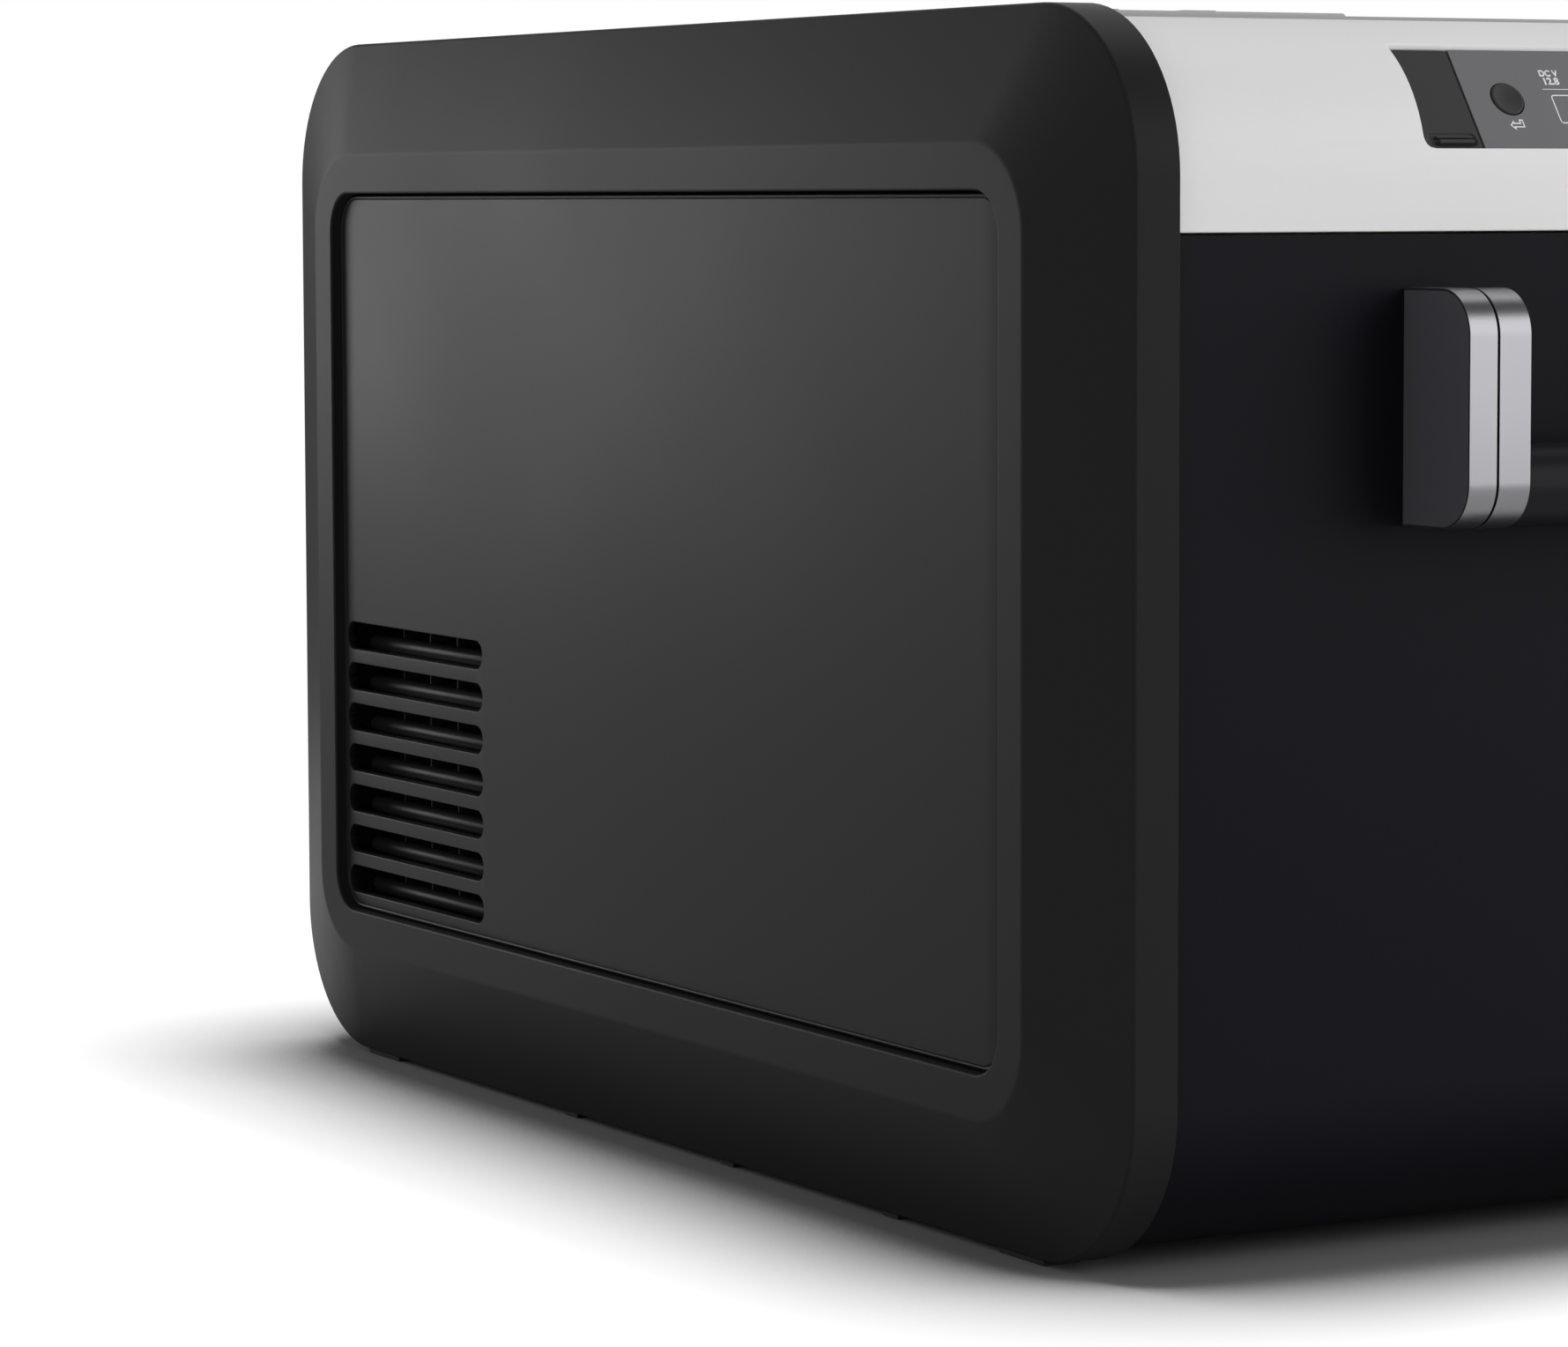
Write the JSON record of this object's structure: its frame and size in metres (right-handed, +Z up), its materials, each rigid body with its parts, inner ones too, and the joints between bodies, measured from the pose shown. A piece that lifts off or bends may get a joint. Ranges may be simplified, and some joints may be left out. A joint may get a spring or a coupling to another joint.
{
  "type": "compressor cooler fridge",
  "caption": "Portable compressor cooler: foamed box with a stepped vat, hinged latching lid, moulded side frames with vent slots, swing handles and a tilted display.",
  "frame": {"origin": "middle of the footprint on the floor", "axes": "+X towards the display end, -Y towards the side frame seen at the left of the picture, +Z up"},
  "size_m": [0.693, 0.398, 0.404],
  "materials": {
    "frame_plastic": "moulded, fine grained black polypropylene",
    "casing_coat": "powder coated, bluish black, smooth satin",
    "collar_plastic": "moulded light grey ABS",
    "deck_plastic": "moulded grey ABS",
    "liner_plastic": "formed white polystyrene",
    "handle_aluminium": "satin anodised aluminium",
    "dark_plastic": "moulded dark grey nylon",
    "grip_plastic": "satin coated grip tube",
    "display_face": "tinted acrylic overlay",
    "display_screen": "screen module behind the overlay",
    "flap_rubber": "moulded silicone rubber",
    "black_rubber": "moulded black rubber",
    "gasket_rubber": "soft foamed gasket",
    "steel": "turned or rolled steel",
    "black_steel": "black enamelled steel",
    "copper": "drawn copper tube",
    "evaporator_aluminium": "rolled aluminium sheet",
    "foam": "poured polyurethane foam",
    "light_lens": "frosted lens",
    "wire_coat": "plastic coated steel wire"
  },
  "bodies": {
    "cabinet": {"side_frame_left": "frame_plastic", "side_frame_right": "frame_plastic", "side_panel_left": "frame_plastic", "side_panel_right": "frame_plastic", "outer_casing": "casing_coat", "casing_side_left": "casing_coat", "casing_side_right": "casing_coat", "front_collar": "collar_plastic", "rear_collar": "collar_plastic", "top_deck": "deck_plastic", "inner_liner": "liner_plastic", "body_insulation": "foam", "evaporator": "evaporator_aluminium", "compressor": "black_steel", "compressor_grommets": "black_rubber", "compressor_base_plate": "black_steel", "condenser": "evaporator_aluminium", "fan_frame": "dark_plastic", "control_module": "dark_plastic", "refrigerant_pipes": "copper", "filter_drier": "copper", "display_housing": "dark_plastic", "display_overlay": "display_face", "display_screen": "display_screen", "usb_socket": "steel", "front_bracket_left": "handle_aluminium", "front_bracket_right": "handle_aluminium", "rear_bracket_left": "handle_aluminium", "rear_bracket_right": "handle_aluminium", "bracket_cheeks": "dark_plastic", "handle_pins": "steel", "feet_left": "black_rubber", "feet_right": "black_rubber", "ac_inlet": "dark_plastic", "dc_inlet": "dark_plastic", "drain_sleeve": "dark_plastic", "interior_light": "light_lens", "wire_basket": "wire_coat", "hinge_bases": "dark_plastic", "hinge_pins": "steel", "latch_striker": "dark_plastic"},
    "lid": {"lid_shell": "collar_plastic", "lid_insulation": "foam", "lid_liner": "deck_plastic", "lid_gasket": "gasket_rubber", "hinge_leaves": "dark_plastic", "latch_pin": "steel"},
    "latch": {"latch_lever": "dark_plastic"},
    "front_handle": {"front_arm_left": "handle_aluminium", "front_arm_right": "handle_aluminium", "front_grip": "grip_plastic"},
    "rear_handle": {"rear_arm_left": "handle_aluminium", "rear_arm_right": "handle_aluminium", "rear_grip": "grip_plastic"},
    "power_button": {"power_button": "dark_plastic"},
    "menu_button": {"menu_button": "dark_plastic"},
    "usb_cover": {"usb_cover": "flap_rubber"},
    "fan_rotor": {"fan_rotor": "dark_plastic"},
    "drain_plug": {"drain_plug": "dark_plastic"}
  },
  "joints": [
    {"name": "lid_hinge", "type": "hinge", "parent": "cabinet", "child": "lid", "pos_m": [0, 0.158, 0.394], "axis": [-1, 0, 0], "range_deg": [0, 95]},
    {"name": "latch_lift", "type": "hinge", "parent": "lid", "child": "latch", "pos_m": [0, -0.1565, 0.397], "axis": [1, 0, 0], "range_deg": [0, 30], "stiffness_Nm_per_rad": 0.3, "springref_deg": -5.73},
    {"name": "front_handle_swing", "type": "hinge", "parent": "cabinet", "child": "front_handle", "pos_m": [0.3315, 0, 0.2988], "axis": [0, -1, 0], "range_deg": [0, 90]},
    {"name": "rear_handle_swing", "type": "hinge", "parent": "cabinet", "child": "rear_handle", "pos_m": [-0.3315, 0, 0.2988], "axis": [0, 1, 0], "range_deg": [0, 90]},
    {"name": "power_button_press", "type": "slide", "parent": "cabinet", "child": "power_button", "axis": [-0.829, 0, -0.5592], "range_m": [0, 0.0008], "stiffness_N_per_m": 600, "springref_m": -0.0005},
    {"name": "menu_button_press", "type": "slide", "parent": "cabinet", "child": "menu_button", "axis": [-0.829, 0, -0.5592], "range_m": [0, 0.0008], "stiffness_N_per_m": 600, "springref_m": -0.0005},
    {"name": "usb_cover_open", "type": "hinge", "parent": "cabinet", "child": "usb_cover", "pos_m": [0.28705, 0, 0.38805], "axis": [0, -1, 0], "range_deg": [0, 100], "stiffness_Nm_per_rad": 0.0015, "springref_deg": -5.73},
    {"name": "fan_spin", "type": "hinge", "parent": "cabinet", "child": "fan_rotor", "pos_m": [-0.1997, -0.1035, 0.11895], "axis": [0, 1, 0], "continuous": true},
    {"name": "drain_plug_pull", "type": "slide", "parent": "cabinet", "child": "drain_plug", "axis": [1, 0, 0], "range_m": [0, 0.03]}
  ]
}
